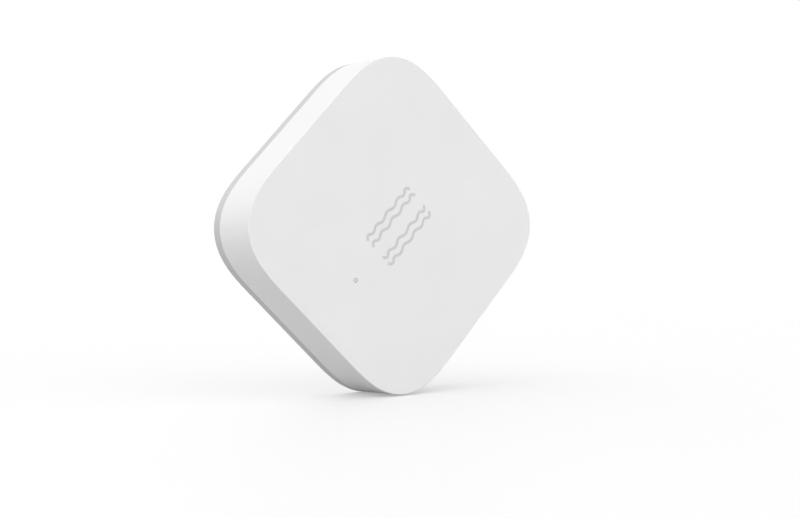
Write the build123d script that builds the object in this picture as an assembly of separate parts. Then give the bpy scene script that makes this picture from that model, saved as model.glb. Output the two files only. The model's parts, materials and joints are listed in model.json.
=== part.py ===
from build123d import *
import os
from math import cos, radians, sin, sqrt

# A square battery sensor tag. Lengths are in millimetres and angles in degrees.
# It is modelled lying on its back: X and Y run along its sides and Z points out of its face.
# Level zero is the outer face of the adhesive. At the end the tag is stood on one corner.

# Coin cell: a 20 mm by 3.2 mm lithium cell
cell_radius = 10.0
cell_height = 3.2
cell_sheet = 0.25
cell_seal_width = 1.0
cell_crimp_share = 0.4
cell_cap_rise = 0.2
cell_separator_thickness = 0.1
cell_anode_thickness = 0.8
cell_edge_radius = 0.4
cell_fit = 0.03

# Battery door: a round plate with three bayonet lugs and a coin slot
door_pass_clearance = 0.35
door_clearance = 0.15
door_lug_reach = 0.9
door_lug_width = 22.0
door_lug_count = 3
door_turn = 30.0
door_notch_play = 3.0
door_stop_width = 4.0
door_stop_play = 1.5
door_flange_width = 1.35
door_flange_thickness = 0.55
door_flange_play = 0.05
door_lug_play = 0.05
door_lug_thickness = 0.45
door_cell_gap = 0.1
door_edge_radius = 0.12
coin_slot_length = 14.0
coin_slot_width = 2.0
coin_slot_depth = 0.9
coin_slot_wall = 1.1
door_rim_wall = 1.0
door_core_floor = 0.7

# Adhesive pad: foam tape in a shallow recess
pad_thickness = 0.5
pad_proud = 0.3
pad_margin = 1.9
pad_corner = 8.6
pad_land = 0.8
pad_clearance = 0.12

# Back plate
plate_thickness = 1.2
plate_rim_rise = 0.4
plate_edge_radius = 0.15
well_wall = 0.8
well_board_gap = 0.1
guide_width = 1.0
guide_play = 0.15
guide_count = 4
lip_clearance = 0.1
lip_width = 0.8
lip_height = 1.0
hook_width = 3.0
hook_thickness = 0.9
hook_height = 2.9
hook_nose_reach = 0.35
hook_nose_height = 0.8
hook_nose_top = 0.2
hook_catch_play = 0.1
hook_button_gap = 0.45

# Front housing
side_wall = 1.2
front_wall = 1.1
draft_inset = 0.15
corner_zone = 11.4
corner_lead_share = 0.63
corner_turn_share = 0.272
face_edge_radius = 0.1
seam_edge_radius = 0.08
post_radius = 1.2
post_wall_gap = 0.8
post_pin_radius = 0.6
post_head_radius = 1.0
post_head_height = 0.45
post_hole_play = 0.1
rib_thickness = 0.8
rib_reach = 1.3
pinhole_radius = 0.3

# Circuit board and the springs on it
board_thickness = 0.8
board_clearance = 0.3
board_notch_play = 1.0
board_notch_radius = 0.5
component_space = 1.55
contact_gap = 0.55
contact_sheet = 0.15
spring_hub_radius = 2.4
spring_finger_width = 1.4
spring_finger_length = 6.2
spring_toe_length = 0.7
spring_toe_rise = 0.12
spring_finger_count = 3
clip_width = 4.0
clip_foot_length = 1.6
clip_stand_off = 0.9
clip_reach = 2.6
clip_toe_height = 0.5
clip_play = 0.02
clip_window_play = 0.5

# Side-push switch and the button in front of it
switch_gap = 0.47
switch_depth = 2.6
switch_width = 4.6
switch_height = 1.3
switch_overhang = 0.6
switch_sheet = 0.12
switch_tab_width = 0.9
switch_tab_length = 0.5
switch_travel = 0.3
plunger_reach = 0.5
plunger_width = 1.7
plunger_height = 0.7
plunger_root = 0.6
plunger_play = 0.05
button_width = 5.0
button_height = 1.8
button_play = 0.1
button_flange_lip = 0.5
button_flange_thickness = 0.6
button_flange_gap = 0.05
button_nose_width = 2.4
button_nose_height = 0.9
button_nose_length = 0.4
button_edge_radius = 0.15

# Light pipe and the light below it
pipe_tip_radius = 0.25
pipe_stem_radius = 0.7
pipe_flange_radius = 1.0
pipe_flange_thickness = 0.3
pipe_collar_wall = 0.5
pipe_collar_play = 0.06
pipe_light_gap = 0.15
pipe_recess = 0.02
light_place_share = 0.534
led_length = 1.6
led_width = 0.8
led_height = 0.6
led_base_height = 0.25
led_lens_length = 1.0

# Other parts on the board, with their places as shares of the board's side
radio_side = 6.0
radio_height = 0.85
radio_place_shares = (0.10, 0.12)
sensor_length = 3.25
sensor_width = 3.0
sensor_height = 1.06
sensor_place_shares = (-0.17, 0.13)
crystal_length = 3.2
crystal_width = 2.5
crystal_height = 0.75
crystal_lid_margin = 0.2
crystal_lid_height = 0.2
crystal_place_shares = (0.30, 0.12)
antenna_length = 5.0
antenna_width = 2.0
antenna_height = 1.0
antenna_edge_gap = 1.0
antenna_place_share = 0.0
reservoir_length = 3.5
reservoir_width = 2.8
reservoir_height = 1.3
reservoir_place_shares = (-0.17, -0.07)
chip_length = 1.0
chip_width = 0.5
chip_height = 0.45
chip_cap_length = 0.22
chip_edge_radius = 0.04
package_corner = 0.15
solder_height = 0.03
capacitor_place_shares = (
    (0.02, -0.02),
    (0.07, -0.02),
    (0.12, -0.02),
    (0.17, -0.02),
    (0.30, 0.05),
    (0.30, 0.19),
    (-0.17, 0.21),
    (0.37, -0.01),
)
resistor_place_shares = (
    (-0.08, -0.29),
    (0.07, -0.29),
    (-0.26, 0.21),
    (-0.08, 0.21),
    (0.10, 0.25),
    (0.33, -0.20),
)

# One overrun serves every cut, and every small rounded edge turns in the same number of steps
overrun = 1.0
edge_steps = 4

# Radii that follow from the cell outwards
opening_radius = cell_radius + door_pass_clearance
hub_radius = opening_radius - door_clearance
lug_radius = hub_radius + door_lug_reach
notch_radius = lug_radius + door_clearance
well_inner_radius = notch_radius + door_flange_play
well_outer_radius = well_inner_radius + well_wall
flange_radius = hub_radius + door_flange_width
seat_radius = flange_radius + door_clearance

# Levels from the adhesive to the face; the floor is the inside of the back plate, within its rim
pad_recess = pad_thickness - pad_proud
rear_z = pad_proud
floor_z = rear_z + plate_thickness
seam_z = floor_z + plate_rim_rise
flange_top_z = rear_z + door_flange_thickness
lug_low_z = floor_z + door_lug_play
hub_top_z = lug_low_z + door_lug_thickness
cell_low_z = hub_top_z + door_cell_gap
cell_high_z = cell_low_z + cell_height
board_low_z = cell_high_z + contact_gap
board_high_z = board_low_z + board_thickness
ceiling_z = board_high_z + component_space
face_z = ceiling_z + front_wall
body_depth = face_z - rear_z
button_z = board_low_z - switch_height / 2
hook_top_z = floor_z + hook_height

# Places along the button's line, from the well out to the skin
switch_rear = well_outer_radius + switch_gap
switch_front = switch_rear + switch_depth
plunger_tip = switch_front + plunger_reach
flange_inner = plunger_tip + button_nose_length
flange_outer = flange_inner + button_flange_thickness
wall_inner = flange_outer + button_flange_gap
button_rise_share = (button_z - rear_z) / body_depth
rear_half = wall_inner + side_wall + draft_inset * button_rise_share
rear_side = 2 * rear_half
light_place = light_place_share * rear_half

# How far a rounded corner cuts in from the sharp one, as a share of its length along a side
corner_cut_share = (1 + 5 * corner_lead_share + 10 * corner_turn_share) / 32
corner_inset_share = (1 - sqrt(1 / 2)) / corner_cut_share

# Spacing along the sides
flange_width = button_width + 2 * button_flange_lip
flange_height = button_height + 2 * button_flange_lip
hook_offset = flange_width / 2 + hook_button_gap + hook_width / 2

UPRIGHT = (Align.CENTER, Align.CENTER, Align.MIN)
STANDING = Plane((0, 0, 0), x_dir=(1, 0, -1), z_dir=(0, -1, 0)).location


def save(shape, node):
    export_step(STANDING * shape, f"parts/{node}.step")


def disc(radius, low, high):
    """Cylinder about the tag's middle, from one level to another."""
    return Pos(0, 0, low) * Cylinder(radius, high - low, align=UPRIGHT)


def ring(outer, inner, low, high):
    return disc(outer, low, high) - disc(inner, low - overrun, high + overrun)


def block(width, length, low, high):
    return Pos(0, 0, low) * Box(width, length, high - low, align=UPRIGHT)


def rounded_square(side, corner):
    """Square whose corners take up their bend gradually, with no sudden change of curvature."""
    half = side / 2
    start = half - corner
    lead = half - corner * corner_lead_share
    turn = half - corner * corner_turn_share
    bend = Bezier((half, start), (half, lead), (half, turn), (turn, half), (lead, half), (start, half))
    straight = Line((half, -start), (half, start))
    edges = []
    for quarter in range(4):
        edges.append(Rot(0, 0, 90 * quarter) * straight)
        edges.append(Rot(0, 0, 90 * quarter) * bend)
    return make_face(edges)


def outline(level, inset=0):
    """The tag's outline at a level, brought in from its drafted skin."""
    side = rear_side - 2 * draft_inset * (level - rear_z) / body_depth
    corner = corner_zone * side / rear_side
    return Pos(0, 0, level) * rounded_square(side - 2 * inset, corner - inset * corner_inset_share)


def drafted(low, high, inset=0):
    """Solid inside the drafted skin between two levels."""
    return loft([outline(low, inset), outline(high, inset)], ruled=True)


def edge_steps_of(radius):
    """How far in from the wall and short of the end each step of a rounded edge lies."""
    turns = [radians(90 * step / edge_steps) for step in range(edge_steps + 1)]
    return [(radius * (1 - cos(turn)), radius * (1 - sin(turn))) for turn in turns]


def soft_drafted(low, high, low_radius, high_radius):
    """Solid inside the drafted skin with the edges of both its ends rounded."""
    sections = [outline(low + short, inset) for inset, short in reversed(edge_steps_of(low_radius))]
    sections += [outline(high - short, inset) for inset, short in edge_steps_of(high_radius)]
    return loft(sections, ruled=True)


def straight_walled(level, inset, low, high):
    """Upright solid with the outline that the tag has at one level."""
    return extrude(Pos(0, 0, low - level) * outline(level, inset), amount=high - low)


def wall_places():
    """The two places on each of the four sides where a hook or rib stands, as turns and offsets."""
    places = []
    for quarter in range(4):
        for offset in (-hook_offset, hook_offset):
            places.append((90 * quarter, offset))
    return places


def along_button(width, height, inner, outer):
    """Round-ended bar at the button's height, from one distance out to another."""
    base = Plane((0, inner, button_z), x_dir=(1, 0, 0), z_dir=(0, 1, 0))
    return extrude(base * SlotOverall(width, height), amount=outer - inner)


def square_along_button(width, height, inner, outer):
    return Pos(0, (inner + outer) / 2, button_z) * Box(width, outer - inner, height)


def post_place():
    """Distance of each post from both middle lines, so that it clears the rounded corner."""
    inner_half = rear_half - draft_inset - side_wall
    inner_corner = corner_zone - side_wall * corner_inset_share
    diagonal = inner_half - inner_corner * corner_cut_share
    return diagonal - (post_radius + post_wall_gap) / sqrt(2)


def board_post():
    """Shoulder and pin of a board post, with the head that is melted over the board."""
    shoulder = disc(post_radius, board_high_z, ceiling_z + front_wall / 2)
    pin = disc(post_pin_radius, board_low_z - post_head_height, board_high_z + front_wall / 2)
    head = disc(post_head_radius, board_low_z - post_head_height, board_low_z)
    head = chamfer(head.edges().group_by(Axis.Z)[0], post_head_height / 2)
    return shoulder + pin + head


def front_housing():
    shell = soft_drafted(seam_z, face_z, seam_edge_radius, face_edge_radius)
    shell -= drafted(seam_z - overrun, ceiling_z, side_wall)
    place = post_place()
    for quarter in range(4):
        shell += Rot(0, 0, 90 * quarter) * Pos(place, place, 0) * board_post()
    inner_half = rear_half - side_wall
    for turn, offset in wall_places():
        rib = Pos(offset, inner_half - rib_reach / 2, 0) * block(
            rib_thickness, rib_reach + side_wall, board_high_z, ceiling_z + front_wall / 2
        )
        shell += Rot(0, 0, turn) * rib
        shell -= Rot(0, 0, turn) * Pos(offset, 0, 0) * hook_pocket()
    collar_radius = pipe_flange_radius + pipe_collar_play
    collar_low_z = ceiling_z - pipe_flange_thickness
    shell += Pos(0, -light_place, 0) * disc(
        collar_radius + pipe_collar_wall, collar_low_z, ceiling_z + front_wall / 2
    )
    shell -= Pos(0, -light_place, 0) * disc(collar_radius, collar_low_z - overrun, ceiling_z)
    shell -= Pos(0, -light_place, 0) * disc(pinhole_radius, ceiling_z - overrun, face_z + overrun)
    opening_width = button_width + 2 * button_play
    opening_height = button_height + 2 * button_play
    shell -= along_button(opening_width, opening_height, wall_inner - overrun, rear_half + overrun)
    return shell


def hook_half():
    """Distance of a hook's outer side from the middle."""
    return rear_half - draft_inset * (hook_top_z - rear_z) / body_depth - side_wall - lip_clearance


def hook_pocket():
    """Recess inside the side wall that a hook's nose springs into."""
    outer = hook_half() + hook_nose_reach + hook_catch_play
    high = hook_top_z - hook_nose_top + hook_catch_play
    low = hook_top_z - hook_nose_top - hook_nose_height - hook_catch_play
    depth = outer - hook_half() + lip_clearance + overrun / 2
    return Pos(0, outer - depth / 2, 0) * block(hook_width + 2 * hook_catch_play, depth, low, high)


def snap_hook():
    """Springy finger whose sloped nose catches inside the side wall."""
    outer = hook_half()
    nose_high = hook_top_z - hook_nose_top
    nose_low = nose_high - hook_nose_height
    tip = outer + hook_nose_reach
    profile = Polyline(
        (outer - hook_thickness, floor_z - plate_thickness / 2),
        (outer - hook_thickness, hook_top_z),
        (outer - hook_nose_top, hook_top_z),
        (outer, nose_high),
        (tip, nose_low + hook_nose_height / 3),
        (tip, nose_low),
        (outer, nose_low),
        (outer, floor_z - plate_thickness / 2),
        close=True,
    )
    side = Plane((-hook_width / 2, 0, 0), x_dir=(0, 1, 0), z_dir=(1, 0, 0))
    return extrude(side * make_face(profile), amount=hook_width)


def light_pipe():
    """Clear pin: a thin tip in the pinhole, a flange in its collar and a stem down to the light."""
    tip = disc(pipe_tip_radius, ceiling_z - pipe_flange_thickness / 2, face_z - pipe_recess)
    flange = disc(pipe_flange_radius, ceiling_z - pipe_flange_thickness, ceiling_z)
    stem_low_z = board_high_z + solder_height + led_height + pipe_light_gap
    stem = disc(pipe_stem_radius, stem_low_z, ceiling_z - pipe_flange_thickness / 2)
    return Pos(0, -light_place, 0) * (tip + flange + stem)


def pairing_button():
    """Press button, cut off level with the drafted wall, with a flange that keeps it in."""
    cap = along_button(button_width, button_height, flange_inner, rear_half + overrun)
    cap &= drafted(seam_z, face_z)
    outer_face = cap.faces().sort_by(Axis.Y)[-1]
    cap = chamfer(outer_face.edges(), button_edge_radius)
    flange = along_button(flange_width, flange_height, flange_inner, flange_outer)
    nose = square_along_button(button_nose_width, button_nose_height, plunger_tip, flange_outer)
    return cap + flange + nose


def switch_base():
    """Moulded body of the side-push switch, hung under the board, with a channel for its plunger."""
    body = square_along_button(
        switch_width - 2 * switch_sheet, switch_height - switch_sheet, switch_rear, switch_front
    )
    body = Pos(0, 0, switch_sheet / 2) * body
    channel_width = plunger_width + 2 * plunger_play
    channel_height = plunger_height + 2 * plunger_play
    channel_rear = switch_front - plunger_root - switch_travel - plunger_play
    return body - square_along_button(channel_width, channel_height, channel_rear, switch_front + overrun)


def switch_cover():
    """Folded sheet shell under and beside the switch, with solder tabs on the board."""
    shell = square_along_button(switch_width, switch_height, switch_rear, switch_front)
    shell -= Pos(0, 0, switch_sheet) * square_along_button(
        switch_width - 2 * switch_sheet, switch_height, switch_rear - overrun, switch_front + overrun
    )
    tab = Pos(0, (switch_rear + switch_front) / 2, 0) * block(
        switch_width + 2 * switch_tab_length, switch_tab_width, board_low_z - switch_sheet, board_low_z
    )
    tab -= block(switch_width - switch_sheet, 2 * switch_front, board_low_z - overrun, board_low_z + overrun)
    return shell + tab


def switch_plunger():
    root = switch_front - plunger_root
    plunger = square_along_button(plunger_width, plunger_height, root, plunger_tip)
    tip_edges = plunger.faces().sort_by(Axis.Y)[-1].edges()
    return chamfer(tip_edges, button_edge_radius)


def bayonet(radius, width, low, high):
    """Three equal sectors about the middle, centred on the first lug's line, out to one radius."""
    sectors = Part()
    for number in range(door_lug_count):
        middle = number * 360 / door_lug_count
        start = CenterArc((0, 0), radius, middle - width / 2, width)
        wedge = make_face([start, Line(start @ 1, (0, 0)), Line((0, 0), start @ 0)])
        sectors += extrude(Pos(0, 0, low) * wedge, amount=high - low)
    return sectors


def door_stops():
    """Small blocks on the plate at both ends of each lug's travel."""
    reach = (door_lug_width + door_stop_width) / 2 + door_stop_play
    root = floor_z - plate_thickness / 2
    stops = bayonet(well_inner_radius + well_wall / 2, door_stop_width, root, hub_top_z)
    stops -= disc(hub_radius + door_clearance, floor_z - overrun, hub_top_z + overrun)
    return Rot(0, 0, reach) * stops + Rot(0, 0, -door_turn - reach) * stops


def battery_door():
    """Round door with a flange outside, bayonet lugs inside, a coin slot and cored-out pockets."""
    flange = disc(flange_radius, rear_z, flange_top_z)
    flange = chamfer(flange.edges().group_by(Axis.Z)[0], door_edge_radius)
    door = flange + disc(hub_radius, flange_top_z - door_flange_thickness / 2, hub_top_z)
    door += bayonet(lug_radius, door_lug_width, lug_low_z, hub_top_z)
    slot = Pos(0, 0, rear_z - overrun) * SlotOverall(coin_slot_length, coin_slot_width)
    slot = extrude(slot, amount=coin_slot_depth + overrun)
    core = disc(hub_radius - door_rim_wall, rear_z + door_core_floor, hub_top_z + overrun)
    core -= block(2 * hub_radius, coin_slot_width + 2 * coin_slot_wall, rear_z, hub_top_z + 2 * overrun)
    return door - slot - core


def pad_outline(clearance):
    """Ring of tape between the plate's edge and the door, brought in by a clearance."""
    side = rear_side - 2 * pad_margin - 2 * clearance
    corner = pad_corner - clearance * corner_inset_share
    return rounded_square(side, corner) - Circle(seat_radius + pad_land + clearance)


def adhesive_pad():
    return extrude(pad_outline(pad_clearance), amount=pad_thickness)


def plate_lip():
    """Rib that follows the inside of the side walls and centres the two halves."""
    top = floor_z + lip_height
    outer = straight_walled(top, side_wall + lip_clearance, floor_z - plate_thickness / 2, top)
    inner = straight_walled(top, side_wall + lip_clearance + lip_width, floor_z, top + overrun)
    return outer - inner


def cell_well():
    """Round wall about the cell, open where the side contact stands, with upright guides inside."""
    top = board_low_z - well_board_gap
    wall = ring(well_outer_radius, well_inner_radius, floor_z - plate_thickness / 2, top)
    guide_low = hub_top_z + door_cell_gap
    guide = Pos((well_outer_radius + cell_radius + guide_play) / 2, 0, 0) * block(
        well_outer_radius - cell_radius - guide_play - well_wall / 2, guide_width, guide_low, top
    )
    for number in range(guide_count):
        wall += Rot(0, 0, 360 * (number + 1 / 2) / guide_count) * guide
    window = Pos(-well_outer_radius, 0, 0) * block(
        2 * well_outer_radius - 2 * cell_radius,
        clip_width + 2 * clip_window_play,
        floor_z,
        top + overrun,
    )
    return wall - window


def back_plate():
    plate = soft_drafted(rear_z, seam_z, plate_edge_radius, seam_edge_radius)
    plate -= straight_walled(seam_z, side_wall + lip_clearance + lip_width / 2, floor_z, seam_z + overrun)
    plate += plate_lip()
    plate += cell_well()
    for turn, offset in wall_places():
        plate += Rot(0, 0, turn) * Pos(offset, 0, 0) * snap_hook()
    plate -= disc(seat_radius, rear_z - overrun, flange_top_z + door_flange_play)
    plate -= disc(opening_radius, rear_z - overrun, floor_z + overrun)
    notches = bayonet(notch_radius, door_lug_width + door_notch_play, rear_z, floor_z + overrun)
    plate -= Rot(0, 0, -door_turn) * notches
    plate += door_stops()
    plate -= extrude(Pos(0, 0, rear_z - overrun) * pad_outline(0), amount=pad_recess + overrun)
    return plate


def circuit_board():
    inset = side_wall + board_clearance
    board = straight_walled(board_high_z, inset, board_low_z, board_high_z)
    place = post_place()
    hole = disc(post_pin_radius + post_hole_play, board_low_z - overrun, board_high_z + overrun)
    for quarter in range(4):
        board -= Rot(0, 0, 90 * quarter) * Pos(place, place, 0) * hole
    notch_inner = switch_front - switch_overhang
    notch_length = rear_half - notch_inner
    notch = Pos(0, notch_inner + notch_length / 2, 0) * block(
        flange_width + board_notch_play, notch_length, board_low_z - overrun, board_high_z + overrun
    )
    notch = fillet(notch.edges().filter_by(Axis.Z).group_by(Axis.Y)[0], board_notch_radius)
    return board - notch


def negative_contact():
    """Stamped spring soldered under the board, with three fingers bent down onto the cell's cap."""
    top = board_low_z
    low = top - contact_sheet
    toe = cell_high_z
    knee = spring_finger_length - spring_toe_length
    profile = Polyline(
        (0, top),
        (spring_hub_radius, top),
        (knee, toe + contact_sheet),
        (spring_finger_length, toe + contact_sheet + spring_toe_rise),
        (spring_finger_length, toe + spring_toe_rise),
        (knee, toe),
        (spring_hub_radius, low),
        (0, low),
        close=True,
    )
    side = Plane((0, spring_finger_width / 2, 0), x_dir=(1, 0, 0), z_dir=(0, -1, 0))
    finger = extrude(side * make_face(profile), amount=spring_finger_width)
    spring = disc(spring_hub_radius, low, top)
    for number in range(spring_finger_count):
        spring += Rot(0, 0, 360 * number / spring_finger_count) * finger
    return spring


def positive_contact():
    """Stamped clip with a foot under the board and a bowed leaf against the side of the cell."""
    touch = cell_radius + clip_play
    bend = touch + clip_stand_off
    foot_low = board_low_z - contact_sheet
    belly = board_low_z - clip_reach
    profile = Polyline(
        (bend + clip_foot_length, board_low_z),
        (bend, board_low_z),
        (touch, belly),
        (bend - clip_stand_off / 2, belly - clip_toe_height),
        (bend - clip_stand_off / 2 + contact_sheet, belly - clip_toe_height),
        (touch + contact_sheet, belly),
        (bend + contact_sheet, foot_low),
        (bend + clip_foot_length, foot_low),
        close=True,
    )
    side = Plane((0, clip_width / 2, 0), x_dir=(1, 0, 0), z_dir=(0, -1, 0))
    return Rot(0, 0, 180) * extrude(side * make_face(profile), amount=clip_width)


def turned(points):
    """Ring or disc from its half section, points given as radius and height above the cell's base."""
    section = [(radius, cell_low_z + height) for radius, height in points]
    return revolve(Plane.XZ * make_face(Polyline(*section, close=True)), Axis.Z)


def cell_parts():
    """The coin cell taken apart: each piece is one turned shape, from its can to its cap."""
    inner = cell_radius - cell_sheet
    cap_radius = inner - cell_seal_width
    crimp_radius = inner - cell_crimp_share * cell_seal_width
    shoulder = cell_height - cell_cap_rise
    crimp_low = shoulder - cell_sheet
    edge = [(cell_radius - inset, short) for inset, short in reversed(edge_steps_of(cell_edge_radius))]
    can = turned(
        (
            (0, 0),
            *edge,
            (cell_radius, shoulder),
            (crimp_radius, shoulder),
            (crimp_radius, crimp_low),
            (inner, crimp_low),
            (inner, cell_sheet),
            (0, cell_sheet),
        )
    )
    cap_inner = cap_radius - cell_sheet
    cap_foot = 2 * cell_sheet
    cap = turned(
        (
            (0, cell_height),
            (cap_radius, cell_height),
            (cap_radius, cap_foot),
            (cap_inner, cap_foot),
            (cap_inner, cell_height - cell_sheet),
            (0, cell_height - cell_sheet),
        )
    )
    cap = chamfer(cap.edges().group_by(Axis.Z)[-1], cell_cap_rise / 2)
    seal_outer = inner - cell_fit
    seal_inner = cap_radius + cell_fit
    gasket = turned(
        (
            (cap_inner, cell_sheet),
            (seal_outer, cell_sheet),
            (seal_outer, crimp_low),
            (seal_inner, crimp_low),
            (seal_inner, cap_foot),
            (cap_inner, cap_foot),
        )
    )
    anode_high = cell_height - cell_sheet
    anode_low = anode_high - cell_anode_thickness
    separator_low = anode_low - cell_separator_thickness
    fill_radius = cap_inner - cell_fit
    cathode = disc(fill_radius - cell_fit, cell_low_z + cell_sheet, cell_low_z + separator_low)
    separator = disc(fill_radius, cell_low_z + separator_low, cell_low_z + anode_low)
    anode = disc(fill_radius - cell_sheet, cell_low_z + anode_low, cell_low_z + anode_high)
    return {
        "cell_can": can,
        "cell_cap": cap,
        "cell_gasket": gasket,
        "cell_cathode": cathode,
        "cell_separator": separator,
        "cell_anode": anode,
    }


def board_side():
    return rear_side - 2 * draft_inset - 2 * side_wall - 2 * board_clearance


def on_board(shares, shape):
    """Sets a part on the front of the board, at a place given in shares of the board's side."""
    across, up = shares
    return Pos(across * board_side(), up * board_side(), board_high_z + solder_height) * shape


def package(length, width, height):
    """Moulded chip with slightly softened upright corners."""
    body = Box(length, width, height, align=UPRIGHT)
    return fillet(body.edges().filter_by(Axis.Z), package_corner)


def crystal():
    """Ceramic tray with a smaller metal lid on it."""
    tray_height = crystal_height - crystal_lid_height
    tray = Box(crystal_length, crystal_width, tray_height, align=UPRIGHT)
    lid_length = crystal_length - 2 * crystal_lid_margin
    lid_width = crystal_width - 2 * crystal_lid_margin
    return tray + Pos(0, 0, tray_height) * package(lid_length, lid_width, crystal_lid_height)


def chip():
    """Small two-ended part: a slim middle between its two metal ends."""
    middle = Box(chip_length, chip_width - chip_edge_radius, chip_height - chip_edge_radius, align=UPRIGHT)
    end = Box(chip_cap_length, chip_width, chip_height, align=UPRIGHT)
    reach = (chip_length - chip_cap_length) / 2
    return middle + Pos(-reach, 0, 0) * end + Pos(reach, 0, 0) * end


def chips(places):
    return Compound(children=[on_board(shares, chip()) for shares in places])


def status_led():
    """Flat base with a clear block on it."""
    base = Box(led_length, led_width, led_base_height, align=UPRIGHT)
    lens = Box(led_lens_length, led_width, led_height, align=UPRIGHT)
    return Pos(0, -light_place, board_high_z + solder_height) * (base + lens)


def chip_antenna():
    along = board_side() / 2 - antenna_edge_gap - antenna_width / 2
    body = package(antenna_width, antenna_length, antenna_height)
    return Pos(along, antenna_place_share * board_side(), board_high_z + solder_height) * body


def parts_on_board():
    return {
        "radio_chip": on_board(radio_place_shares, package(radio_side, radio_side, radio_height)),
        "motion_sensor": on_board(sensor_place_shares, package(sensor_length, sensor_width, sensor_height)),
        "crystal": on_board(crystal_place_shares, crystal()),
        "chip_antenna": chip_antenna(),
        "reservoir_capacitor": on_board(
            reservoir_place_shares, package(reservoir_length, reservoir_width, reservoir_height)
        ),
        "status_led": status_led(),
        "chip_capacitors": chips(capacitor_place_shares),
        "chip_resistors": chips(resistor_place_shares),
    }


def main():
    os.makedirs("parts", exist_ok=True)
    pieces = {
        "front_housing": front_housing(),
        "back_plate": back_plate(),
        "battery_door": battery_door(),
        "adhesive_pad": adhesive_pad(),
        "light_pipe": light_pipe(),
        "pairing_button": pairing_button(),
        "switch_base": switch_base(),
        "switch_cover": switch_cover(),
        "switch_plunger": switch_plunger(),
        "circuit_board": circuit_board(),
        "negative_contact": negative_contact(),
        "positive_contact": positive_contact(),
    }
    pieces.update(cell_parts())
    pieces.update(parts_on_board())
    for node, shape in pieces.items():
        save(shape, node)
    print(f"outline {rear_side:.2f} mm square, body {body_depth:.2f} mm deep, {len(pieces)} nodes")


main()
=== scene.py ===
import bmesh
import bpy
import json
from math import cos, radians, sin, sqrt
from mathutils import Matrix, Vector


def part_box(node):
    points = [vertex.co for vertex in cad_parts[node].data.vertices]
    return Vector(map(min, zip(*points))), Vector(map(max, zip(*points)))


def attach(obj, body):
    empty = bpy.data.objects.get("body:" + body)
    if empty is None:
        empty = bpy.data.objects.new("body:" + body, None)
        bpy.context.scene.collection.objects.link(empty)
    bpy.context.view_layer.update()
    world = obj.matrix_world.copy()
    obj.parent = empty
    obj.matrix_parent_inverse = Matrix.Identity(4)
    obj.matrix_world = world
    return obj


# A square battery sensor tag that stands on one corner. Lengths below are in millimetres.
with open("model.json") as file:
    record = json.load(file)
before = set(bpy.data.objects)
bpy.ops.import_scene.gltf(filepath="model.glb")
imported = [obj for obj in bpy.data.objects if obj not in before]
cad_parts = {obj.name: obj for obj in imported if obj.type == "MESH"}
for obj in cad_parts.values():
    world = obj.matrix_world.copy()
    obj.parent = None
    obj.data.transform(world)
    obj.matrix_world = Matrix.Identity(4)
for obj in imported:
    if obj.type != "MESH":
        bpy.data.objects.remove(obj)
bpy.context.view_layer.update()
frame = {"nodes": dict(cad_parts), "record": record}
bpy.context.scene.view_settings.view_transform = "Standard"

MM = 0.001
NODES = frame["nodes"]

# Levels of the tag's surfaces, measured out from the adhesive face
PLATE_LEVEL = -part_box("back_plate")[1].y / MM
BOARD_LEVEL = -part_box("circuit_board")[0].y / MM
FACE_LEVEL = -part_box("front_housing")[0].y / MM

# Thickness of printed ink, of copper under the board's mask and of the tin on a pad
INK = 0.018
COPPER = 0.015
TIN = 0.03

# The tag's own directions: along two sides of the square, and out of its face
ALONG = Vector((1, 0, -1)) / sqrt(2)
ACROSS = Vector((1, 0, 1)) / sqrt(2)
OUTWARD = Vector((0, -1, 0))
TAG_TO_FRAME = Matrix((ALONG, ACROSS, OUTWARD)).transposed().to_4x4()


# Small helpers for materials and light

# Noise lies mostly between these values, which are stretched to the range that a finish needs
NOISE_RANGE = {"From Min": 0.3, "From Max": 0.7}
# A wave texture draws about this many bands in one unit of its scale
BANDS_TO_A_UNIT = 3.2


def linear(code):
    """An sRGB hex colour as linear red, green, blue and full alpha."""
    channels = [int(code[i:i + 2], 16) / 255 for i in (1, 3, 5)]
    return tuple(c / 12.92 if c <= 0.04045 else ((c + 0.055) / 1.055) ** 2.4 for c in channels) + (1.0,)


def per_mm(millimetres):
    """Texture scale whose features are about this many millimetres across."""
    return 1 / (millimetres * MM)


def add(tree, kind, inputs=(), to=None, give=None, **settings):
    """Adds a node with its settings. Each input gets a value or a link, and the output goes to a socket."""
    node = tree.nodes.new(kind)
    for name, value in settings.items():
        setattr(node, name, value)
    for name, value in dict(inputs).items():
        if isinstance(name, int):
            socket = node.inputs[name]
        else:
            socket = next(s for s in node.inputs if s.enabled and s.name == name)
        if isinstance(value, bpy.types.NodeSocket):
            tree.links.new(value, socket)
        else:
            socket.default_value = value
    output = node.outputs[give] if give else next(s for s in node.outputs if s.enabled)
    if to is not None:
        tree.links.new(output, to)
    return output


def surface(name, code, roughness, **values):
    """Starts a material. Gives it, its tree, its shader's inputs and Object coordinates, in metres."""
    material = bpy.data.materials.new(name)
    material.use_nodes = True
    tree = material.node_tree
    shader = tree.nodes["Principled BSDF"].inputs
    shader["Base Color"].default_value = linear(code)
    shader["Roughness"].default_value = roughness
    for label, value in values.items():
        shader[label.replace("_", " ")].default_value = value
    return material, tree, shader, add(tree, "ShaderNodeTexCoord", give="Object")


# Materials

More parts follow.
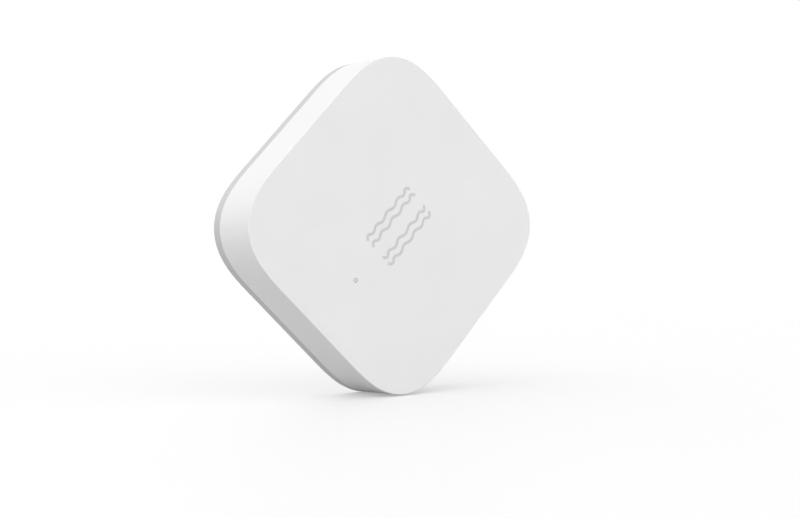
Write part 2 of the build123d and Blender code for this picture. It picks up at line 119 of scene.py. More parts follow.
def moulded_white():
    """ABS moulded in a spark-eroded tool: a soft satin white with a grain too fine to see one by one."""
    material, tree, shader, where = surface("moulded_abs_satin_white", "#E7E7E7", 0.45, IOR=1.46)
    # The real grain is about half as wide, and is drawn as coarse as it needs to be to show
    grain = add(tree, "ShaderNodeTexNoise", {"Vector": where, "Scale": per_mm(0.12), "Detail": 3.0})
    flow = add(tree, "ShaderNodeTexNoise", {"Vector": where, "Scale": per_mm(9.0), "Detail": 1.0})
    share = add(tree, "ShaderNodeMapRange", {"Value": flow, **NOISE_RANGE})
    add(tree, "ShaderNodeMix", {"Factor": share, "A": linear("#E6E6E6"), "B": linear("#E8E8E8")},
        shader["Base Color"], data_type="RGBA")
    add(tree, "ShaderNodeMapRange", {"Value": grain, **NOISE_RANGE, "To Min": 0.41, "To Max": 0.5},
        shader["Roughness"])
    add(tree, "ShaderNodeBump", {"Height": grain, "Strength": 0.8, "Distance": 0.014 * MM}, shader["Normal"])
    return material


def moulded_grey():
    """ABS moulded in a spark-eroded tool, a cool light grey: a little duller and grainier than the white."""
    material, tree, shader, where = surface("moulded_abs_grained_grey", "#C4C7C6", 0.55, IOR=1.46)
    # The real grain is about half as wide, and is drawn as coarse as it needs to be to show
    grain = add(tree, "ShaderNodeTexNoise", {"Vector": where, "Scale": per_mm(0.16), "Detail": 3.0})
    flow = add(tree, "ShaderNodeTexNoise", {"Vector": where, "Scale": per_mm(8.0), "Detail": 1.0})
    share = add(tree, "ShaderNodeMapRange", {"Value": flow, **NOISE_RANGE})
    add(tree, "ShaderNodeMix", {"Factor": share, "A": linear("#C2C5C4"), "B": linear("#C6C9C8")},
        shader["Base Color"], data_type="RGBA")
    add(tree, "ShaderNodeMapRange", {"Value": grain, **NOISE_RANGE, "To Min": 0.5, "To Max": 0.62},
        shader["Roughness"])
    add(tree, "ShaderNodeBump", {"Height": grain, "Strength": 0.9, "Distance": 0.02 * MM}, shader["Normal"])
    return material


def foam_tape():
    """Cut acrylic foam tape: matt off-white, with open cells that show as tiny pits, their bottoms painted
    darker as shade.
    """
    material, tree, shader, where = surface("cut_acrylic_foam", "#EFEEE9", 0.85, IOR=1.45)
    cells = add(tree, "ShaderNodeTexVoronoi", {"Vector": where, "Scale": per_mm(0.35)})
    pit_depth_and_shade = add(tree, "ShaderNodeMapRange", {"Value": cells, "From Max": 0.5})
    # Painted shade: the colour darkens towards the bottom of each pit, while the bump gives the pits their
    # depth
    add(tree, "ShaderNodeMix", {"Factor": pit_depth_and_shade, "A": linear("#DDDBD4"), "B": linear("#F0EFEA")},
        shader["Base Color"], data_type="RGBA")
    add(tree, "ShaderNodeBump", {"Height": pit_depth_and_shade, "Strength": 0.6, "Distance": 0.03 * MM}, shader["Normal"])
    return material


def milky_acrylic():
    """Moulded acrylic with a little diffuser in it: it carries the light and looks milky in its hole."""
    material, tree, shader, where = surface("moulded_acrylic_diffusing", "#F4F6F6", 0.3, IOR=1.49)
    shader["Transmission Weight"].default_value = 0.28
    haze = add(tree, "ShaderNodeTexNoise", {"Vector": where, "Scale": per_mm(0.2)})
    add(tree, "ShaderNodeMapRange", {"Value": haze, **NOISE_RANGE, "To Min": 0.24, "To Max": 0.4},
        shader["Roughness"])
    return material


def solder_mask():
    """Glass-epoxy board under green solder mask: copper planes show through as a lighter green."""
    material, tree, shader, where = surface("masked_glass_epoxy_green", "#1F6B45", 0.3, IOR=1.52)
    # The cloth of the board is far finer, and its bands are drawn as coarse as they need to be to show
    weave = add(tree, "ShaderNodeTexWave", {"Vector": where, "Scale": per_mm(3.0 * BANDS_TO_A_UNIT)},
                give="Fac", wave_type="BANDS")
    planes = add(tree, "ShaderNodeTexVoronoi", {"Vector": where, "Scale": per_mm(3.2)}, distance="CHEBYCHEV")
    edges = add(tree, "ShaderNodeMapRange", {"Value": planes, "From Min": 0.52, "From Max": 0.56})
    add(tree, "ShaderNodeMix", {"Factor": edges, "A": linear("#2A7A4F"), "B": linear("#1D6540")},
        shader["Base Color"], data_type="RGBA")
    add(tree, "ShaderNodeMapRange", {"Value": weave, "To Min": 0.26, "To Max": 0.36}, shader["Roughness"])
    add(tree, "ShaderNodeBump", {"Height": edges, "Strength": 0.4, "Distance": 0.02 * MM}, shader["Normal"])
    return material


def masked_copper():
    """Copper under solder mask: a lighter, yellower green than the bare board, and as glossy."""
    material, tree, shader, where = surface("masked_copper_green", "#3A8F5C", 0.28, IOR=1.52)
    grain = add(tree, "ShaderNodeTexNoise", {"Vector": where, "Scale": per_mm(0.4)})
    share = add(tree, "ShaderNodeMapRange", {"Value": grain, **NOISE_RANGE})
    add(tree, "ShaderNodeMix", {"Factor": share, "A": linear("#368A58"), "B": linear("#409763")},
        shader["Base Color"], data_type="RGBA")
    add(tree, "ShaderNodeMapRange", {"Value": grain, **NOISE_RANGE, "To Min": 0.24, "To Max": 0.34},
        shader["Roughness"])
    add(tree, "ShaderNodeBump", {"Height": grain, "Strength": 0.4, "Distance": 0.003 * MM}, shader["Normal"])
    return material


def moulded_epoxy():
    """Transfer-moulded epoxy of a chip: near black and matt, with silica filler that glints faintly."""
    material, tree, shader, where = surface("moulded_epoxy_black", "#1C1C1E", 0.55, IOR=1.55)
    filler = add(tree, "ShaderNodeTexNoise", {"Vector": where, "Scale": per_mm(0.05)})
    share = add(tree, "ShaderNodeMapRange", {"Value": filler, **NOISE_RANGE})
    add(tree, "ShaderNodeMix", {"Factor": share, "A": linear("#19191B"), "B": linear("#242427")},
        shader["Base Color"], data_type="RGBA")
    add(tree, "ShaderNodeMapRange", {"Value": filler, **NOISE_RANGE, "To Min": 0.48, "To Max": 0.66},
        shader["Roughness"])
    add(tree, "ShaderNodeBump", {"Height": filler, "Strength": 0.4, "Distance": 0.004 * MM}, shader["Normal"])
    return material


def glass_nylon(name, code):
    """Glass-filled nylon of the switch: dull, with short fibres that lie along the flow."""
    material, tree, shader, where = surface(name, code, 0.6, IOR=1.53)
    along_flow = add(tree, "ShaderNodeMapping", {"Vector": where, "Scale": (1, 1, 5)})
    fibres = add(tree, "ShaderNodeTexNoise", {"Vector": along_flow, "Scale": per_mm(0.3), "Detail": 3.0})
    add(tree, "ShaderNodeMapRange", {"Value": fibres, **NOISE_RANGE, "To Min": 0.5, "To Max": 0.7},
        shader["Roughness"])
    add(tree, "ShaderNodeBump", {"Height": fibres, "Strength": 0.5, "Distance": 0.006 * MM}, shader["Normal"])
    return material


def sheet_metal(name, code, roughness, grain, stretch, depth=0.003):
    """Rolled, pressed or plated sheet: fine lines along the rolling direction spread its highlights."""
    material, tree, shader, where = surface(name, code, roughness, Metallic=1.0)
    rolled = add(tree, "ShaderNodeMapping", {"Vector": where, "Scale": stretch})
    lines = add(tree, "ShaderNodeTexNoise", {"Vector": rolled, "Scale": per_mm(grain), "Detail": 3.0})
    ends = {"To Min": roughness * 0.8, "To Max": roughness * 1.25}
    add(tree, "ShaderNodeMapRange", {"Value": lines, **NOISE_RANGE, **ends}, shader["Roughness"])
    add(tree, "ShaderNodeBump", {"Height": lines, "Strength": 0.4, "Distance": depth * MM}, shader["Normal"])
    return material


def cell_steel():
    """Drawn and nickel-plated steel of the cell: rings from the press tool round its middle."""
    material, tree, shader, where = surface("drawn_nickel_plated_steel", "#C9CACB", 0.26, Metallic=1.0)
    scale = per_mm(0.9375 * BANDS_TO_A_UNIT)
    pattern = {"Vector": where, "Scale": scale, "Distortion": 0.6, "Detail": 2.0}
    rings = add(tree, "ShaderNodeTexWave", pattern, give="Fac", wave_type="RINGS", rings_direction="Y")
    add(tree, "ShaderNodeMapRange", {"Value": rings, "To Min": 0.2, "To Max": 0.34}, shader["Roughness"])
    add(tree, "ShaderNodeBump", {"Height": rings, "Strength": 0.3, "Distance": 0.004 * MM}, shader["Normal"])
    return material


def speckled(name, dark, light, roughness, grain, depth):
    """Pressed powder, felt, ceramic, a moulded seal or a cast lens: a fine grain that shows as speckle."""
    material, tree, shader, where = surface(name, dark, roughness, IOR=1.5)
    pattern = {"Vector": where, "Scale": per_mm(grain), "Detail": 4.0, "Roughness": 0.6}
    specks = add(tree, "ShaderNodeTexNoise", pattern)
    share = add(tree, "ShaderNodeMapRange", {"Value": specks, **NOISE_RANGE})
    add(tree, "ShaderNodeMix", {"Factor": share, "A": linear(dark), "B": linear(light)},
        shader["Base Color"], data_type="RGBA")
    add(tree, "ShaderNodeBump", {"Height": specks, "Strength": 0.6, "Distance": depth * MM}, shader["Normal"])
    return material


def fired_chip(name, dark, light):
    """Fired ceramic block of a small capacitor or resistor: a half gloss with a very fine grain."""
    material, tree, shader, where = surface(name, dark, 0.42, IOR=1.6)
    grain = add(tree, "ShaderNodeTexNoise", {"Vector": where, "Scale": per_mm(0.06), "Detail": 3.0})
    share = add(tree, "ShaderNodeMapRange", {"Value": grain, **NOISE_RANGE})
    add(tree, "ShaderNodeMix", {"Factor": share, "A": linear(dark), "B": linear(light)},
        shader["Base Color"], data_type="RGBA")
    add(tree, "ShaderNodeBump", {"Height": grain, "Strength": 0.5, "Distance": 0.004 * MM}, shader["Normal"])
    return material


def reflowed_solder():
    """Reflowed tin solder: bright and smooth with a faint grain from cooling."""
    material, tree, shader, where = surface("reflowed_solder", "#C3C5C7", 0.24, Metallic=1.0)
    grain = add(tree, "ShaderNodeTexNoise", {"Vector": where, "Scale": per_mm(0.1), "Detail": 3.0})
    add(tree, "ShaderNodeMapRange", {"Value": grain, **NOISE_RANGE, "To Min": 0.18, "To Max": 0.34},
        shader["Roughness"])
    add(tree, "ShaderNodeBump", {"Height": grain, "Strength": 0.5, "Distance": 0.004 * MM}, shader["Normal"])
    return material


def printed_ink(name, dark, light):
    """Pad or screen printed ink: thin and even, with a slightly softer gloss than what lies under it."""
    material, tree, shader, where = surface(name, light, 0.5, IOR=1.46)
    grain = add(tree, "ShaderNodeTexNoise", {"Vector": where, "Scale": per_mm(0.15), "Detail": 3.0})
    share = add(tree, "ShaderNodeMapRange", {"Value": grain, **NOISE_RANGE})
    add(tree, "ShaderNodeMix", {"Factor": share, "A": linear(dark), "B": linear(light)},
        shader["Base Color"], data_type="RGBA")
    add(tree, "ShaderNodeMapRange", {"Value": grain, **NOISE_RANGE, "To Min": 0.44, "To Max": 0.56},
        shader["Roughness"])
    add(tree, "ShaderNodeBump", {"Height": grain, "Strength": 0.4, "Distance": 0.003 * MM}, shader["Normal"])
    return material


FINISHES = {
    "white_shell": moulded_white(),
    "grey_plate": moulded_grey(),
    "foam_tape": foam_tape(),
    "clear_pin": milky_acrylic(),
    "board": solder_mask(),
    "black_package": moulded_epoxy(),
    "black_switch": glass_nylon("moulded_glass_nylon_black", "#232325"),
    "white_plunger": glass_nylon("moulded_glass_nylon_white", "#E4E2DC"),
    "steel_sheet": sheet_metal("pressed_stainless_sheet", "#C4C6C8", 0.3, 0.3, (1, 1, 8)),
    "cell_steel": cell_steel(),
    "spring_metal": sheet_metal("stamped_nickel_plated_bronze", "#CDCBC4", 0.28, 0.25, (6, 1, 1)),
    "seal_plastic": speckled("moulded_nylon_seal", "#33373B", "#3D4146", 0.5, 0.2, 0.004),
    "cathode_pellet": speckled("pressed_manganese_dioxide", "#1E1D1C", "#302E2C", 0.85, 0.12, 0.02),
    "separator_felt": speckled("melt_blown_polypropylene_felt", "#E6E5E0", "#F3F2EE", 0.9, 0.18, 0.03),
    "lithium_disc": sheet_metal("rolled_lithium_foil", "#B9BBBD", 0.45, 0.4, (1, 1, 7), 0.006),
    "crystal_can": sheet_metal("seam_welded_nickel_iron_lid", "#C9C4B4", 0.25, 0.2, (1, 5, 1)),
    "white_ceramic": speckled("fired_alumina_ceramic", "#E9E7E1", "#F2F0EB", 0.4, 0.08, 0.003),
    "tan_ceramic": fired_chip("fired_titanate_ceramic", "#A88763", "#B8966F"),
    "black_film": fired_chip("glazed_film_resistor", "#232427", "#2E2F33"),
    "clear_led": speckled("cast_epoxy_lens", "#E6E3C9", "#F0EED8", 0.25, 0.2, 0.002),
    "ink": printed_ink("pad_printed_grey_ink", "#C9C9C9", "#CDCDCD"),
    "dark_ink": printed_ink("pad_printed_dark_ink", "#727776", "#7B807F"),
    "white_ink": printed_ink("screen_printed_white_ink", "#E2E2DC", "#ECECE6"),
    "solder": reflowed_solder(),
    "masked_copper": masked_copper(),
    "gold_plate": sheet_metal("electroless_gold_plate", "#D9B25E", 0.3, 0.2, (1, 1, 1)),
}
for part in frame["record"]["subparts"]:
    slots = NODES[part["node"]].data.materials
    slots.clear()
    slots.append(FINISHES[part["material_slot"]])


# Modelling helpers: pieces are made in millimetres in the tag's own directions, then set in the frame

SMOOTH_ANGLE = 30
MERGE_DISTANCE = 0.001
NEARLY_FLAT = 0.9
LINE_ROUNDNESS = 2
DISC_SIDES = 24


def deselect():
    """Leaves edit mode, with nothing selected."""
    if bpy.context.object and bpy.context.object.mode != "OBJECT":
        bpy.ops.object.mode_set(mode="OBJECT")
    bpy.ops.object.select_all(action="DESELECT")


def chosen():
    """The piece that was added or joined last."""
    return bpy.context.view_layer.objects.active


def only(obj):
    """Selects one piece and makes it active."""
    deselect()
    obj.select_set(True)
    bpy.context.view_layer.objects.active = obj


def pick(obj, kind, test):
    """In edit mode, selects just the faces, edges or corners of a piece that pass a test."""
    bpy.ops.mesh.select_mode(type=kind)
    mesh = bmesh.from_edit_mesh(obj.data)
    for item in (*mesh.verts, *mesh.edges, *mesh.faces):
        item.select_set(False)
    for item in {"VERT": mesh.verts, "EDGE": mesh.edges, "FACE": mesh.faces}[kind]:
        if test(item):
            item.select_set(True)
    mesh.select_flush_mode()
    bmesh.update_edit_mesh(obj.data)


def apply_place(obj):
    """Moves a piece's place, turn and scale into its mesh."""
    only(obj)
    bpy.ops.object.transform_apply(location=True, rotation=True, scale=True)


def shift(obj, x, y, z):
    """Moves a piece's mesh."""
    obj.data.transform(Matrix.Translation((x, y, z)))


def flatten(obj, share):
    """Presses a piece's mesh to this share of its height."""
    obj.data.transform(Matrix.Diagonal((1, 1, share, 1)))


def block(width, length, height, at=(0, 0, 0)):
    """Box primitive that stands on its place."""
    deselect()
    middle = (at[0], at[1], at[2] + height / 2)
    bpy.ops.mesh.primitive_cube_add(size=1, location=middle, scale=(width, length, height))
    apply_place(chosen())
    return chosen()


def copied(obj, x, y, z, turn):
    """A copy of a piece with a mesh of its own, turned about its origin and moved to a place."""
    twin = obj.copy()
    twin.data = obj.data.copy()
    bpy.context.scene.collection.objects.link(twin)
    twin.data.transform(Matrix.Rotation(radians(turn), 4, "Z"))
    shift(twin, x, y, z)
    return twin


def joined(pieces, name):
    """Joins pieces into one with this name."""
    only(pieces[0])
    for piece in pieces:
        piece.select_set(True)
    if len(pieces) > 1:
        bpy.ops.object.join()
    obj = chosen()
    obj.name = obj.data.name = name
    return obj


def settle(obj, body, finish):
    """Turns a piece into the frame in metres, and gives it its finish and body."""
    apply_place(obj)
    obj.data.transform(Matrix.Scale(MM, 4) @ TAG_TO_FRAME)
    obj.data.materials.clear()
    obj.data.materials.append(FINISHES[finish])
    bpy.ops.object.shade_smooth_by_angle(angle=radians(SMOOTH_ANGLE))
    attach(obj, body)


def film_line(path, width, thickness, handles, steps):
    """A line of ink or copper: a bezier curve through points, its round section pressed flat to a film."""
    deselect()
    bpy.ops.curve.primitive_bezier_curve_add(location=(0, 0, 0))
    line = chosen()
    spline = line.data.splines[0]
    spline.bezier_points.add(len(path) - 2)
    for point, (x, y) in zip(spline.bezier_points, path):
        point.co = (x, y, 0)
        point.handle_left_type = point.handle_right_type = handles
    line.data.resolution_u = steps
    line.data.bevel_depth = width / 2
    line.data.bevel_resolution = LINE_ROUNDNESS
    line.data.use_fill_caps = True
    bpy.ops.object.convert(target="MESH")
    line = chosen()
    bpy.ops.object.mode_set(mode="EDIT")
    bpy.ops.mesh.select_all(action="SELECT")
    bpy.ops.mesh.remove_doubles(threshold=MERGE_DISTANCE)
    bpy.ops.mesh.normals_make_consistent(inside=False)
    bpy.ops.object.mode_set(mode="OBJECT")
    flatten(line, 2 * thickness / width)
    return line


def ink_spot(radius, thickness):
    """Printed spot: a thin disc whose rims are taken off, as a drop of ink dries."""
    deselect()
    bpy.ops.mesh.primitive_cylinder_add(vertices=DISC_SIDES, radius=radius, depth=thickness)
    spot = chosen()
    only(spot)

    def on_rim(edge):
        return abs(edge.verts[0].co.z - edge.verts[1].co.z) < thickness / 2

    bpy.ops.object.mode_set(mode="EDIT")
    pick(spot, "EDGE", on_rim)
    bpy.ops.mesh.bevel(offset=thickness / 4, segments=1)
    bpy.ops.object.mode_set(mode="OBJECT")
    return spot


# Wavy lines printed on the face, a plain sign for shaking: two pairs that mirror each other

WAVE_CENTRE = 0.03
WAVE_PLACES = ((-2.395, 1), (-1.245, 1), (1.245, -1), (2.395, -1))
WAVE_HEIGHTS = (0.0, 1.25, 2.4, 3.48, 4.18)
WAVE_END = 4.72
WAVE_HOOK = 0.3
WAVE_SWING = 0.18
WAVE_STROKE = 0.39
WAVE_STEPS = 10


def wave_points(middle, side):
    """Turning points of one line: it swings to and fro and ends in a short hook at both ends."""
    half = [(side * WAVE_SWING * (-1) ** (number + 1), height) for number, height in enumerate(WAVE_HEIGHTS)]
    half.append((side * WAVE_HOOK, WAVE_END))
    path = [(swing, -height) for swing, height in reversed(half[1:])] + half
    return [(middle + swing, height) for swing, height in path]


def wave_mark():
    """The four lines of the sign."""
    paths = [wave_points(WAVE_CENTRE + place, side) for place, side in WAVE_PLACES]
    lines = [film_line(path, WAVE_STROKE, INK, "AUTO", WAVE_STEPS) for path in paths]
    mark = joined(lines, "wave_mark")
    shift(mark, 0, 0, FACE_LEVEL)
    settle(mark, "case", "ink")


wave_mark()


# Marks round the battery door: a pointer on the door, and on the plate a full and an open spot

POINTER_PLACE = 10.55
POINTER_SIZE = 0.8
POINTER_HEIGHT = 0.04
POINTER_BORDER = 0.04
POINTER_RISE = 0.01
SPOT_PLACE = 12.1
SPOT_SIZE = 0.32
RING_LINE = 0.07
RING_ROUNDNESS = 8
LOCKED_ANGLE = 90
FREE_ANGLE = 60


def door_pointer():
    """Pointer on the door's rim, moulded and inked: a small triangle whose face is drawn in and raised."""
    deselect()
    bpy.ops.mesh.primitive_cylinder_add(vertices=3, radius=POINTER_SIZE, depth=2 * POINTER_HEIGHT)
    pointer = chosen()
    only(pointer)
    bpy.ops.object.mode_set(mode="EDIT")
    pick(pointer, "FACE", lambda face: face.normal.z < -NEARLY_FLAT)
    bpy.ops.mesh.inset(thickness=POINTER_BORDER)
    bpy.ops.transform.translate(value=(0, 0, -POINTER_RISE))
    bpy.ops.object.mode_set(mode="OBJECT")
    shift(pointer, 0, POINTER_PLACE, PLATE_LEVEL)
    pointer.name = pointer.data.name = "door_pointer"
    settle(pointer, "door", "dark_ink")


def shift_to_angle(obj, angle):
    """Moves a spot from the middle to its place round the door."""
    turn = radians(angle)
    shift(obj, SPOT_PLACE * cos(turn), SPOT_PLACE * sin(turn), PLATE_LEVEL)


def plate_spots():
    """Printed spots on the plate's land: a full one where the door is locked, a ring where it is free."""
    full = ink_spot(SPOT_SIZE, 2 * INK)
    shift_to_angle(full, LOCKED_ANGLE)
    deselect()
    bpy.ops.mesh.primitive_torus_add(
        major_segments=DISC_SIDES, minor_segments=RING_ROUNDNESS,
        major_radius=SPOT_SIZE - RING_LINE, minor_radius=RING_LINE,
    )
    ring = chosen()
    flatten(ring, INK / RING_LINE)
    shift_to_angle(ring, FREE_ANGLE)
    settle(joined([full, ring], "plate_spots"), "case", "dark_ink")


door_pointer()
plate_spots()


# Solder joints at the ends and pins of the board's parts

BOARD_SIDE = 32.7
# Middles of the small parts, in shares of the board's side
CAPACITOR_SHARES = (
    (0.02, -0.02), (0.07, -0.02), (0.12, -0.02), (0.17, -0.02),
    (0.30, 0.05), (0.30, 0.19), (-0.17, 0.21), (0.37, -0.01),
)
RESISTOR_SHARES = ((-0.08, -0.29), (0.07, -0.29), (-0.26, 0.21), (-0.08, 0.21), (0.10, 0.25), (0.33, -0.20))

# Width, length of the foot and rise of each kind of joint
CHIP_JOINT = (0.48, 0.26, 0.3)
PIN_JOINT = (0.26, 0.3, 0.16)
CRYSTAL_JOINT = (0.9, 0.3, 0.3)
WIDE_JOINT = (1.9, 0.45, 0.6)

# Half the length of each part, between its joints
CHIP_HALF = 0.5
LED_HALF = 0.8
RADIO_HALF = 3.0
SENSOR_HALF = 1.625
CRYSTAL_HALF = 1.6
RESERVOIR_HALF = 1.75
ANTENNA_HALF = 2.5

RADIO_PITCH = 0.5
RADIO_PINS = 10
SENSOR_PITCH = 0.65
SENSOR_PINS = 4
CRYSTAL_PADS = (-0.7, 0.7)

# A joint's shape: its toe and hollow in shares of foot and rise, its pad in shares of width and tin
TOE = 0.9
HOLLOW = 0.14
PAD_REACH = 0.5
PAD_UNDER = 0.2
PAD_BREADTH = 1.08
PAD_TIN = 0.9


def middle_of(node):
    """A node's middle along the tag's two sides."""
    low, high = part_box(node)
    centre = (low + high) / 2 / MM
    return centre.dot(ALONG), centre.dot(ACROSS)


def solder_joint(size):
    """Solder that climbs a part's end: a wedge with a hollow slope, on a tinned pad that runs under it."""
    width, foot, rise = size
    wedge = block(foot, width, rise, (foot / 2, 0, TIN / 2))

    def at_toe(edge):
        return all(v.co.x > foot * TOE and v.co.z > rise * TOE for v in edge.verts)

    def on_slope(edge):
        start, end = (v.co for v in edge.verts)
        return abs(start.z - end.z) > rise / 2 and abs(start.x - end.x) > foot / 2

    def half_way(v):
        return abs(v.co.x - foot / 2) < foot / 4

    only(wedge)
    bpy.ops.object.mode_set(mode="EDIT")
    pick(wedge, "EDGE", at_toe)
    bpy.ops.transform.translate(value=(0, 0, -rise * TOE))
    pick(wedge, "EDGE", on_slope)
    bpy.ops.mesh.subdivide(number_cuts=1)
    pick(wedge, "VERT", half_way)
    bpy.ops.transform.translate(value=(-foot * HOLLOW, 0, -rise * HOLLOW))
    bpy.ops.object.mode_set(mode="OBJECT")
    pad_place = (foot / 2 - width * PAD_UNDER, 0, 0)
    pad = block(foot + width * PAD_REACH, width * PAD_BREADTH, TIN * PAD_TIN, pad_place)
    return joined([wedge, pad], "joint")


def both_ends(joint, x, y, reach, turn=0):
    """The joint at both ends of a part of this half length."""
    pieces = []
    for way in (turn, turn + 180):
        angle = radians(way)
        pieces.append(copied(joint, x + reach * cos(angle), y + reach * sin(angle), BOARD_LEVEL, way))
    return pieces


def row(count, pitch):
    """Places of a row of pins, either side of its middle."""
    return [(number - (count - 1) / 2) * pitch for number in range(count)]


def solder_joints():
    """All joints on the board, as one piece."""
    patterns = [solder_joint(size) for size in (CHIP_JOINT, PIN_JOINT, CRYSTAL_JOINT, WIDE_JOINT)]
    chip, pin, crystal, wide = patterns
    pieces = []
    for across, up in CAPACITOR_SHARES + RESISTOR_SHARES:
        pieces += both_ends(chip, across * BOARD_SIDE, up * BOARD_SIDE, CHIP_HALF)
    pieces += both_ends(chip, *middle_of("status_led"), LED_HALF)
    x, y = middle_of("radio_chip")
    for place in row(RADIO_PINS, RADIO_PITCH):
        pieces += both_ends(pin, x, y + place, RADIO_HALF)
        pieces += both_ends(pin, x + place, y, RADIO_HALF, 90)
    x, y = middle_of("motion_sensor")
    for place in row(SENSOR_PINS, SENSOR_PITCH):
        pieces += both_ends(pin, x, y + place, SENSOR_HALF)
    x, y = middle_of("crystal")
    for place in CRYSTAL_PADS:
        pieces += both_ends(crystal, x, y + place, CRYSTAL_HALF)
    pieces += both_ends(wide, *middle_of("reservoir_capacitor"), RESERVOIR_HALF)
    pieces += both_ends(wide, *middle_of("chip_antenna"), ANTENNA_HALF, 90)
    for pattern in patterns:
        bpy.data.objects.remove(pattern)
    settle(joined(pieces, "solder_joints"), "case", "solder")


# Tracks, rings and printed outlines on the board, in its own plane

TRACK_WIDTH = 0.2
TRACKS = (
    ((6.6, 4.17), (8.0, 4.17)),
    ((6.6, 5.17), (7.4, 5.17), (8.5, 6.2), (9.2, 6.2)),
    ((6.6, 2.67), (7.6, 2.67), (8.6, 1.63), (9.2, 1.63)),
    ((6.6, 1.67), (7.4, 1.67), (9.4, -0.33), (11.5, -0.33)),
    ((12.7, -0.33), (13.4, -0.33), (14.3, -1.2), (14.3, -2.2)),
    ((1.0, 0.6), (1.0, -0.1), (0.3, -0.65)),
    ((2.5, 0.6), (2.5, 0.1), (1.8, -0.65)),
    ((4.0, 0.6), (4.0, 0.1), (3.4, -0.65)),
    ((5.5, 0.6), (5.5, 0.1), (5.0, -0.65)),
    ((-0.1, 1.7), (-2.2, 1.7), (-4.0, 3.5)),
    ((-0.1, 2.7), (-2.0, 2.7), (-3.6, 4.2)),
    ((-0.1, 3.7), (-1.8, 3.7), (-3.3, 5.2)),
    ((-0.1, 5.2), (-1.4, 5.2), (-3.1, 6.87)),
    ((-2.1, 6.87), (-0.8, 8.17), (2.7, 8.17)),
    ((3.3, 7.3), (3.3, 7.7), (3.8, 8.17)),
    ((-6.0, 6.87), (-8.0, 6.87)),
    ((-9.0, 6.87), (-12.0, 6.87), (-13.2, 5.6), (-13.2, -3.5), (-10.2, -6.5), (-5.6, -6.5), (-3.1, -9.0)),
    ((-2.1, -9.48), (-1.3, -9.6)),
    ((1.0, -9.6), (1.8, -9.48)),
    ((2.8, -9.48), (6.0, -9.48), (8.9, -6.54), (10.3, -6.54)),
    ((11.3, -6.54), (13.2, -6.54), (14.4, -5.3), (14.4, -3.9)),
    ((-7.4, -2.3), (-10.0, -2.3), (-11.4, -0.9), (-11.4, 4.2), (-7.4, 4.2)),
    ((-3.7, -2.3), (-1.2, -2.3), (0.2, -1.3)),
    ((6.1, -0.65), (7.6, -0.65), (7.6, -3.6), (5.0, -6.2), (-1.0, -6.2)),
)
VIAS = (
    (-1.0, -6.2), (-13.2, 0.5), (-11.4, 2.0), (7.6, -2.2), (0.2, -4.4), (4.2, -3.4),
    (-8.9, -9.6), (8.6, 9.8), (-1.8, 11.4), (5.2, 12.2), (-6.6, 11.4), (-11.6, 9.6),
    (12.8, 9.4), (9.6, -9.4), (-4.6, -12.2), (5.0, -12.4),
)
VIA_SIZE = 0.24
VIA_LINE = 0.09
VIA_SIDES = 20
VIA_ROUNDNESS = 6
VIA_FLATNESS = 0.25
PRINT_WIDTH = 0.13
FIRST_PIN_SIZE = 0.22
FIRST_PIN_GAP = 0.4
# Each printed outline: the part, and the outline's width and length
OUTLINES = (
    ("radio_chip", 7.6, 7.6), ("motion_sensor", 4.7, 4.0), ("crystal", 4.6, 3.4),
    ("reservoir_capacitor", 5.0, 3.7), ("chip_antenna", 2.9, 6.6), ("status_led", 3.0, 1.5),
)
CHIPS = ("radio_chip", "motion_sensor")


def board_tracks():
    """Copper tracks under the mask, which stand up a little and look lighter."""
    tracks = joined([film_line(path, TRACK_WIDTH, COPPER, "VECTOR", 1) for path in TRACKS], "board_tracks")
    shift(tracks, 0, 0, BOARD_LEVEL)
    settle(tracks, "case", "masked_copper")


def board_vias():
    """Gold-plated rings round the holes that join the board's two sides."""
    deselect()
    bpy.ops.mesh.primitive_torus_add(
        major_segments=VIA_SIDES, minor_segments=VIA_ROUNDNESS,
        major_radius=VIA_SIZE, minor_radius=VIA_LINE,
    )
    ring = chosen()
    flatten(ring, VIA_FLATNESS)
    pieces = [copied(ring, x, y, BOARD_LEVEL, 0) for x, y in VIAS]
    bpy.data.objects.remove(ring)
    settle(joined(pieces, "board_vias"), "case", "gold_plate")


def printed_outline(x, y, width, length):
    """Printed rectangle: a plane whose inset middle is taken out and whose border is given a thickness."""
    deselect()
    bpy.ops.mesh.primitive_plane_add(size=1, location=(x, y, BOARD_LEVEL))
    outline = chosen()
    outline.scale = (width, length, 1)
    apply_place(outline)
    bpy.ops.object.mode_set(mode="EDIT")
    bpy.ops.mesh.select_all(action="SELECT")
    bpy.ops.mesh.inset(thickness=PRINT_WIDTH)
    bpy.ops.mesh.delete(type="FACE")
    bpy.ops.mesh.select_all(action="SELECT")
    bpy.ops.mesh.extrude_region_move(TRANSFORM_OT_translate={"value": (0, 0, INK)})
    bpy.ops.mesh.select_all(action="SELECT")
    bpy.ops.mesh.normals_make_consistent(inside=False)
    bpy.ops.object.mode_set(mode="OBJECT")
    return outline


def first_pin_spot(x, y):
    """Printed spot beside a chip's first pin."""
    spot = ink_spot(FIRST_PIN_SIZE, INK)
    shift(spot, x, y, BOARD_LEVEL + INK / 2)
    return spot


def board_print():
    """White outlines printed round the larger parts, with a spot at the first pin of each chip."""
    pieces = []
    for node, width, length in OUTLINES:
        x, y = middle_of(node)
        pieces.append(printed_outline(x, y, width, length))
        if node in CHIPS:
            pieces.append(first_pin_spot(x - width / 2 - FIRST_PIN_GAP, y + length / 2 + FIRST_PIN_GAP))
    settle(joined(pieces, "board_print"), "case", "white_ink")


solder_joints()
board_tracks()
board_vias()
board_print()


# Floor, light and camera

# The floor lies a hair above the lowest point of the tag's corner, so that no light shows between them
FLOOR_LEVEL = -21.97
FLOOR_METRES = 6
# The floor's white to the eye, the light that it throws back, and the share of it that no shadow darkens
FLOOR_WHITE = "#F1F1F1"
FLOOR_BOUNCE = "#BCBCBC"
FLOOR_GLOW = 0.35
WHITE = "#FFFFFF"
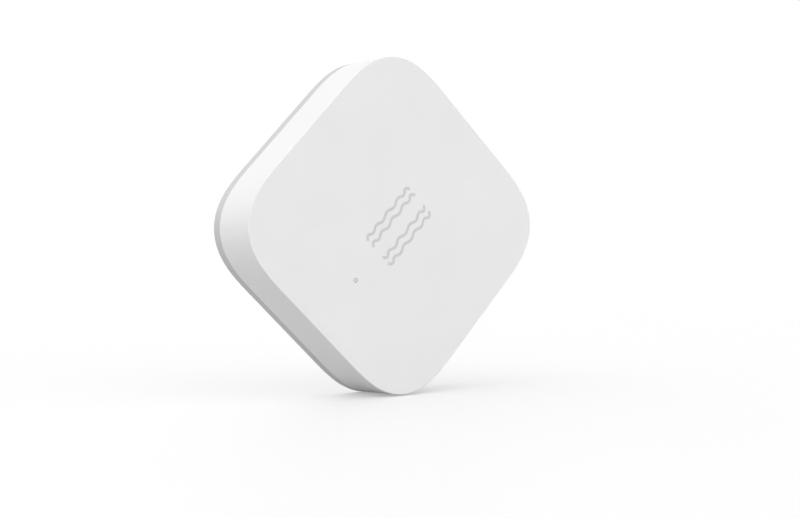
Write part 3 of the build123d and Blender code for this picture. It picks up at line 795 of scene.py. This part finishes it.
# Each soft box: the direction that it lies in, and its level
SOFT_BOXES = (
    ((-0.71, 0, 0.71), 1.62),
    ((0.6, 0.5, 0.62), 0.62),
    ((0, -0.95, 0.31), 2.15),
    ((0, 1, 0.05), 1.14),
    ((0, 0.8, 0.6), 0.24),
)
SOFT_BOX_FOCUS = 3.0
CAMERA_SENSOR = 36.0
CAMERA_LENS = 61.88
CAMERA_NEAREST = 0.005
CAMERA_PLACE = Matrix((
    (0.828612, 0.027798, -0.559133, -0.099206),
    (-0.559108, -0.009415, -0.829042, -0.156439),
    (-0.028310, 0.999569, 0.007741, -0.002923),
    (0, 0, 0, 1),
))


def seen_directly(tree):
    """One for what is seen, directly or in gloss or glass, and zero for the light that a thing gives."""
    seen = add(tree, "ShaderNodeLightPath", give="Is Camera Ray")
    rays = seen.node.outputs
    for kind in ("Is Glossy Ray", "Is Transmission Ray"):
        seen = add(tree, "ShaderNodeMath", {0: seen, 1: rays[kind]}, operation="MAXIMUM")
    return seen


def painted_floor():
    """White floor paint: white to the eye with a soft shadow, and no more light from it than from a grey."""
    material, tree, shader, _ = surface("painted_white_floor", WHITE, 0.5, IOR=1.5)
    seen = seen_directly(tree)
    add(tree, "ShaderNodeMix", {"Factor": seen, "A": linear(FLOOR_BOUNCE), "B": linear(FLOOR_WHITE)},
        shader["Base Color"], data_type="RGBA")
    share = add(tree, "ShaderNodeMath", {0: seen, 1: FLOOR_GLOW}, operation="MULTIPLY")
    glow = add(tree, "ShaderNodeEmission", {"Color": linear(WHITE), "Strength": 1.0})
    painted = tree.nodes["Principled BSDF"].outputs["BSDF"]
    add(tree, "ShaderNodeMixShader", {0: share, 1: painted, 2: glow},
        tree.nodes["Material Output"].inputs["Surface"])
    return material


def floor_plane():
    """The plain floor that the tag stands on."""
    deselect()
    bpy.ops.mesh.primitive_plane_add(size=FLOOR_METRES, location=(0, 0, FLOOR_LEVEL * MM))
    floor = chosen()
    floor.name = "floor"
    floor.data.materials.append(painted_floor())


def studio():
    """White all round to the eye; its light comes from very broad soft boxes that fade into each other."""
    world = bpy.data.worlds.new("studio")
    bpy.context.scene.world = world
    world.use_nodes = True
    tree = world.node_tree
    direction = add(tree, "ShaderNodeTexCoord", give="Generated")
    total = 0.0
    for towards, level in SOFT_BOXES:
        facing = add(tree, "ShaderNodeVectorMath", {0: direction, 1: towards}, operation="DOT_PRODUCT")
        ahead = add(tree, "ShaderNodeMath", {0: facing, 1: 0.0}, operation="MAXIMUM")
        fading = add(tree, "ShaderNodeMath", {0: ahead, 1: SOFT_BOX_FOCUS}, operation="POWER")
        total = add(tree, "ShaderNodeMath", {0: fading, 1: level, 2: total}, operation="MULTIPLY_ADD")
    tree.nodes.remove(tree.nodes["Background"])
    light = add(tree, "ShaderNodeBackground", {"Color": linear(WHITE), "Strength": total})
    white = add(tree, "ShaderNodeBackground", {"Color": linear(WHITE), "Strength": 1.0})
    add(tree, "ShaderNodeMixShader", {0: seen_directly(tree), 1: light, 2: white},
        tree.nodes["World Output"].inputs["Surface"])


def camera():
    """Camera at the photograph's viewing angle."""
    lens = bpy.data.cameras.new("camera")
    lens.sensor_width = CAMERA_SENSOR
    lens.lens = CAMERA_LENS
    lens.clip_start = CAMERA_NEAREST
    eye = bpy.data.objects.new("camera", lens)
    bpy.context.scene.collection.objects.link(eye)
    eye.matrix_world = CAMERA_PLACE
    bpy.context.scene.camera = eye


floor_plane()
studio()
camera()
